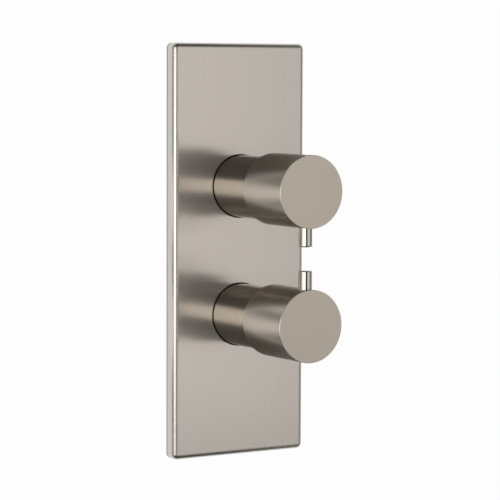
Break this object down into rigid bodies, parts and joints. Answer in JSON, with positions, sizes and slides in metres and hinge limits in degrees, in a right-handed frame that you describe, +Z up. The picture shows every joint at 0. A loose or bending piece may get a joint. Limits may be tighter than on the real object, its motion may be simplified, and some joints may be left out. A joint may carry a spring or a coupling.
{
  "type": "shower mixer",
  "caption": "Concealed shower mixer: upright brushed plate with round flow and temperature controls, each with a pin lever, on a brass thermostatic valve for the wall.",
  "frame": {"origin": "middle of the plate's back, on the finished face of the wall", "axes": "+Z up, +X to the right as seen by the user, -Y out of the wall towards the user, +Y into the wall"},
  "size_m": [0.134, 0.1585, 0.22],
  "materials": {
    "brushed_nickel": "fine brushed",
    "polished_metal": "polished",
    "seal_rubber": "matt",
    "cast_brass": "cast, blasted",
    "turned_brass": "turned",
    "copper": "drawn copper",
    "stainless": "drawn",
    "alumina": "lapped",
    "pale_plastic": "moulded"
  },
  "bodies": {
    "valve": {"wall_plate": "brushed_nickel", "flow_sleeve": "brushed_nickel", "temp_sleeve": "brushed_nickel", "plate_gasket": "seal_rubber", "flow_plate_seal": "seal_rubber", "temp_plate_seal": "seal_rubber", "flow_bonnet_seal": "seal_rubber", "temp_bonnet_seal": "seal_rubber", "flow_seat_seal": "seal_rubber", "temp_cage_seals": "seal_rubber", "union_seals": "seal_rubber", "valve_body": "cast_brass", "flow_bonnet": "turned_brass", "temp_bonnet": "turned_brass", "hot_union": "turned_brass", "cold_union": "turned_brass", "outlet_union": "turned_brass", "temp_return_spring": "stainless", "hot_check_spring": "stainless", "cold_check_spring": "stainless", "hot_filter": "stainless", "cold_filter": "stainless", "flow_fixed_disc": "alumina", "flow_slip_washer": "pale_plastic", "temp_port_cage": "pale_plastic", "temp_stop_ring": "pale_plastic", "hot_check_housing": "pale_plastic", "cold_check_housing": "pale_plastic"},
    "flow_control": {"flow_handle": "brushed_nickel", "flow_lever_pin": "polished_metal", "flow_grub_screw": "stainless", "flow_spline_insert": "turned_brass", "flow_spindle": "turned_brass", "flow_spindle_clip": "stainless", "flow_spindle_seals": "seal_rubber", "flow_moving_disc": "alumina"},
    "temp_control": {"temp_handle": "brushed_nickel", "temp_lever_pin": "polished_metal", "temp_grub_screw": "stainless", "temp_spline_insert": "turned_brass", "temp_spindle": "turned_brass", "temp_spindle_clip": "stainless", "temp_spindle_seals": "seal_rubber"},
    "thermostat": {"temp_drive_nut": "turned_brass", "temp_overtravel_cap": "stainless", "temp_overtravel_spring": "stainless", "temp_wax_element": "copper", "temp_mixing_spool": "pale_plastic"},
    "hot_check": {"hot_check_poppet": "pale_plastic"},
    "cold_check": {"cold_check_poppet": "pale_plastic"}
  },
  "joints": [
    {"name": "flow_turn", "type": "hinge", "parent": "valve", "child": "flow_control", "pos_m": [0, -0.06, 0.03425], "axis": [0, -1, 0], "range_deg": [0, 90]},
    {"name": "temp_turn", "type": "hinge", "parent": "valve", "child": "temp_control", "pos_m": [0, -0.06, -0.03425], "axis": [0, -1, 0], "range_deg": [-135, 45]},
    {"name": "thermostat_slide", "type": "slide", "parent": "valve", "child": "thermostat", "axis": [0, -1, 0], "range_m": [-0.0012, 0.0004], "deforming": ["temp_return_spring"]},
    {"name": "hot_check_slide", "type": "slide", "parent": "valve", "child": "hot_check", "axis": [1, 0, 0], "range_m": [0, 0.003], "stiffness_N_per_m": 60, "springref_m": -0.004, "deforming": ["hot_check_spring"]},
    {"name": "cold_check_slide", "type": "slide", "parent": "valve", "child": "cold_check", "axis": [-1, 0, 0], "range_m": [0, 0.003], "stiffness_N_per_m": 60, "springref_m": -0.004, "deforming": ["cold_check_spring"]}
  ],
  "couplings": [
    {"joint": "thermostat_slide", "follows": "temp_turn", "m_per_rad": 0.00047746}
  ]
}
